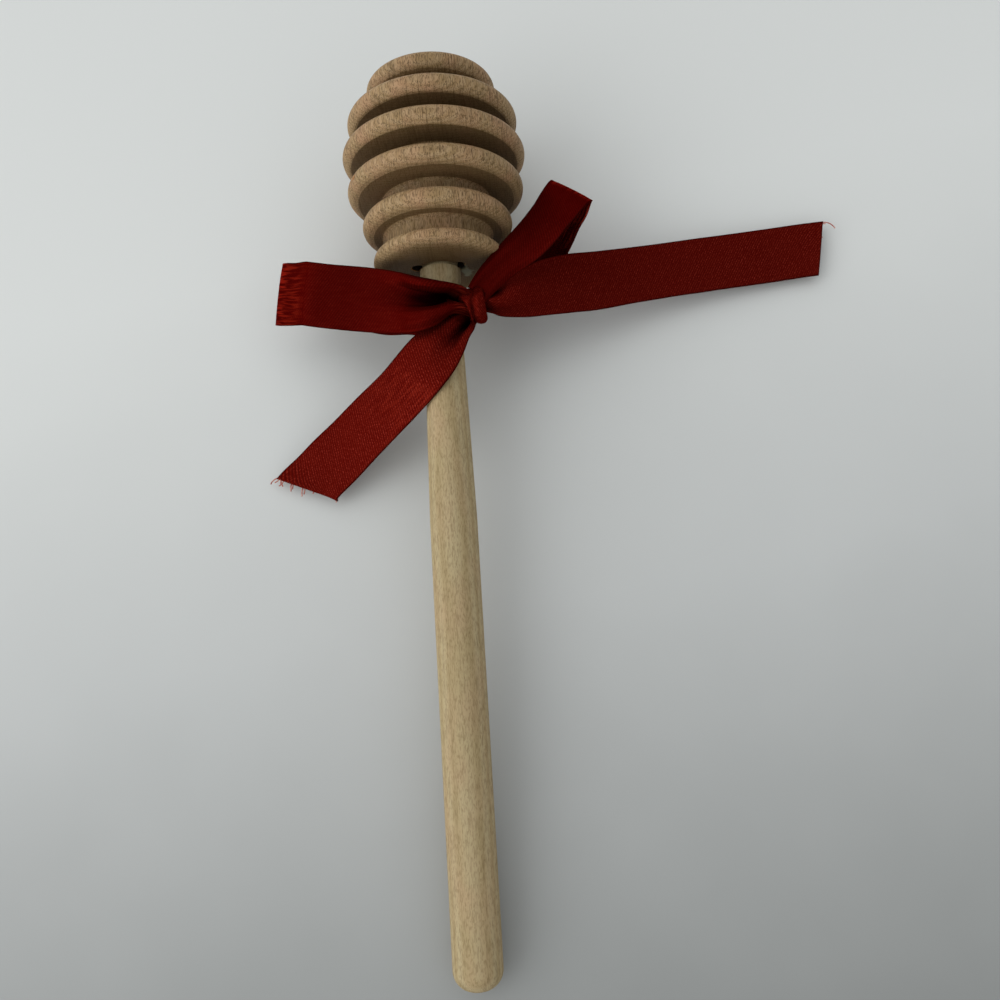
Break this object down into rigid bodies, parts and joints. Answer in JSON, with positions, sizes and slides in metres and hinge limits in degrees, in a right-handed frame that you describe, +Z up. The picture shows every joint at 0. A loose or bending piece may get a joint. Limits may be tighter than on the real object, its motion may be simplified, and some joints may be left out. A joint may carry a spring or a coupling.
{
  "type": "honey dipper",
  "caption": "Wooden honey dipper: grooved egg-shaped head on a slim tapered handle, with a satin ribbon bow tied round the neck.",
  "frame": {"origin": "on the table under the middle of the bounding box, with the dipper lying on its widest ring and its butt", "axes": "+Y from the handle's butt towards the head, +Z up from the table, +X to the right seen from above"},
  "size_m": [0.1044, 0.1552, 0.0326],
  "materials": {
    "handle_wood": "sanded, unvarnished birch",
    "head_wood": "sanded, unvarnished beech",
    "wood_glue": "dried wood glue",
    "satin_ribbon": "dark red woven satin"
  },
  "bodies": {
    "root": {"handle": "handle_wood", "head": "head_wood", "glue_film": "wood_glue", "neck_wrap": "satin_ribbon", "knot": "satin_ribbon", "left_loop": "satin_ribbon", "right_loop": "satin_ribbon", "left_tail": "satin_ribbon", "right_tail": "satin_ribbon"}
  },
  "joints": []
}
